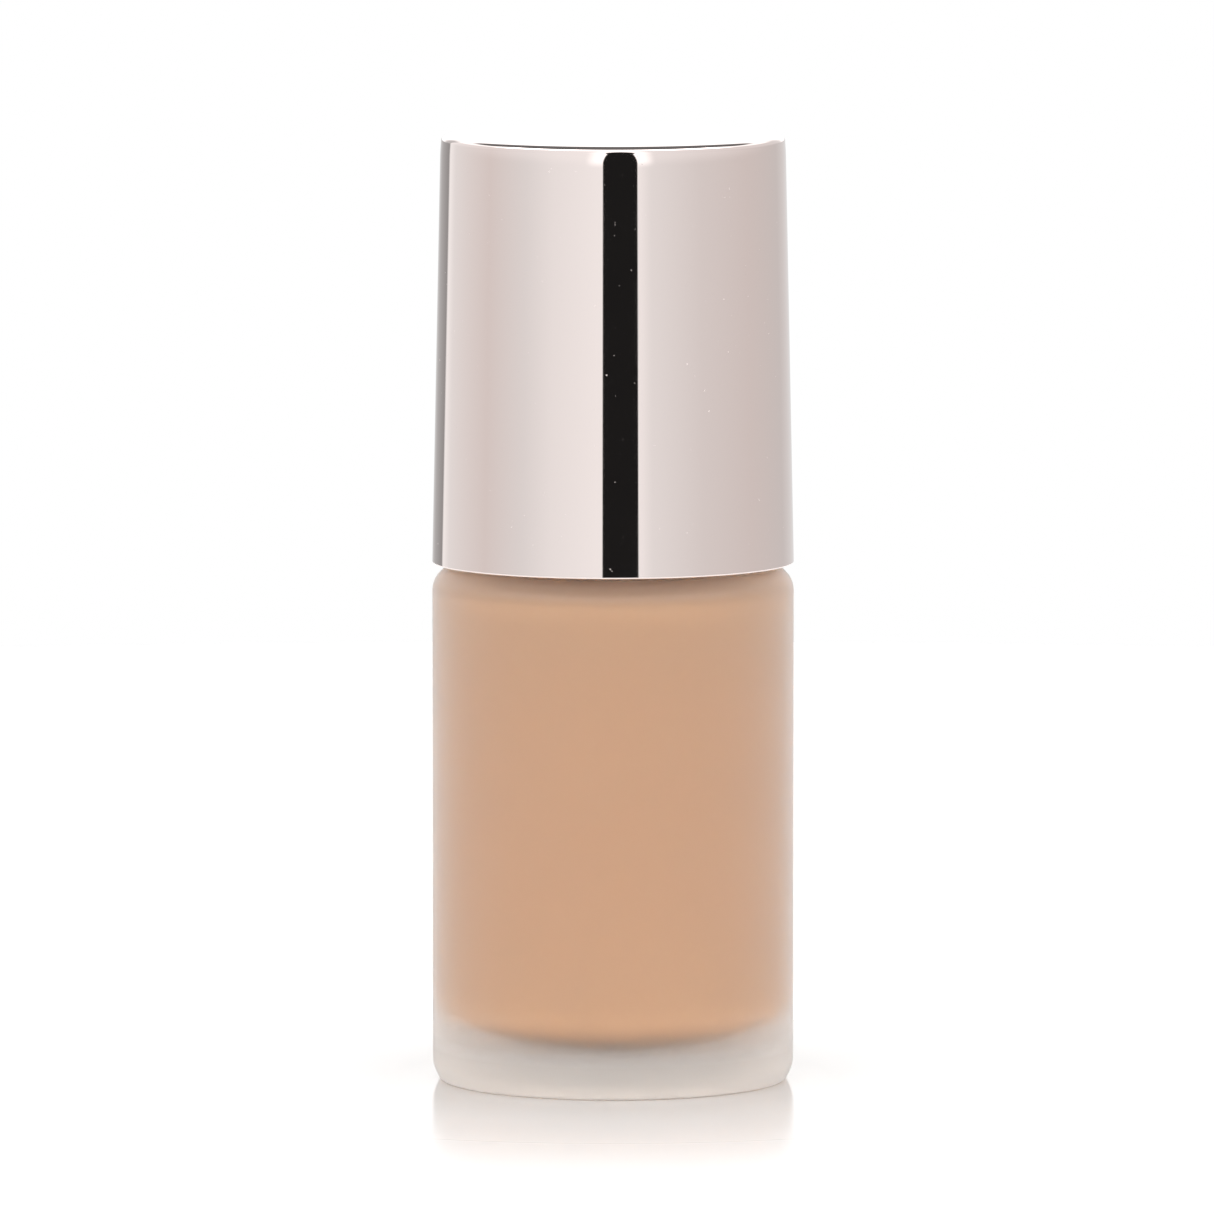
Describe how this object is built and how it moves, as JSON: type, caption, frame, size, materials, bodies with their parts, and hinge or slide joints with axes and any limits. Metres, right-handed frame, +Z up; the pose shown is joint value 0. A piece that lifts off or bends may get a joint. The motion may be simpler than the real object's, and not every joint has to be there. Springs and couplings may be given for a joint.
{
  "type": "foundation bottle",
  "caption": "Round frosted glass foundation bottle with a screw-on treatment pump under a mirror-finish pull-off cap.",
  "frame": {"origin": "centre of the base, on the surface the bottle stands on", "axes": "+Z up the bottle's axis, spout and front towards -Y"},
  "size_m": [0.0358, 0.0358, 0.0938],
  "materials": {
    "frosted_glass": "satin-frosted outside, clear inside",
    "foundation": "opaque beige liquid",
    "rose_silver_cap": "mirror-metallised pale rose-silver plastic",
    "rose_silver": "polished pale rose-silver metal",
    "white_plastic": "moulded polypropylene",
    "clear_plastic": "natural translucent polypropylene",
    "soft_seal": "soft polyethylene",
    "spring_steel": "bright stainless steel",
    "weight_steel": "plated steel",
    "label_paper": "blank matt film"
  },
  "bodies": {
    "bottle": {"glass_bottle": "frosted_glass", "foundation_fill": "foundation", "base_label": "label_paper"},
    "pump_engine": {"pump_housing": "clear_plastic", "dip_tube": "clear_plastic", "neck_gasket": "soft_seal", "stem_guide": "white_plastic", "return_spring": "spring_steel"},
    "closure": {"screw_closure": "white_plastic", "collar_sleeve": "rose_silver"},
    "overcap": {"overcap_shell": "rose_silver_cap", "overcap_liner": "white_plastic", "overcap_weight": "weight_steel"},
    "plunger": {"pump_stem": "white_plastic", "piston_rod": "white_plastic"},
    "seal": {"piston": "soft_seal"},
    "actuator": {"actuator_core": "white_plastic", "actuator_shell": "rose_silver", "nozzle_insert": "white_plastic"},
    "inlet_valve": {"inlet_ball": "spring_steel"}
  },
  "joints": [
    {"name": "pump_lift", "type": "slide", "parent": "bottle", "child": "pump_engine", "axis": [0, 0, 1], "range_m": [0, 0.00636]},
    {"name": "collar_screw", "type": "hinge", "parent": "pump_engine", "child": "closure", "pos_m": [0, 0, 0.0581], "axis": [0, 0, 1], "range_deg": [0, 720]},
    {"name": "cap_pull", "type": "slide", "parent": "closure", "child": "overcap", "axis": [0, 0, 1], "range_m": [0, 0.04]},
    {"name": "pump_stroke", "type": "slide", "parent": "pump_engine", "child": "plunger", "axis": [0, 0, -1], "range_m": [0, 0.004], "stiffness_N_per_m": 1500, "springref_m": -0.004, "deforming": ["return_spring"]},
    {"name": "piston_slip", "type": "slide", "parent": "plunger", "child": "seal", "axis": [0, 0, 1], "range_m": [0, 0.00045]},
    {"name": "nozzle_swivel", "type": "hinge", "parent": "plunger", "child": "actuator", "pos_m": [0, 0, 0.074], "axis": [0, 0, 1], "continuous": true},
    {"name": "inlet_ball_lift", "type": "slide", "parent": "pump_engine", "child": "inlet_valve", "axis": [0, 0, 1], "range_m": [0, 0.0008]}
  ],
  "couplings": [
    {"joint": "pump_lift", "follows": "collar_screw", "m_per_rad": 0.00050532}
  ]
}
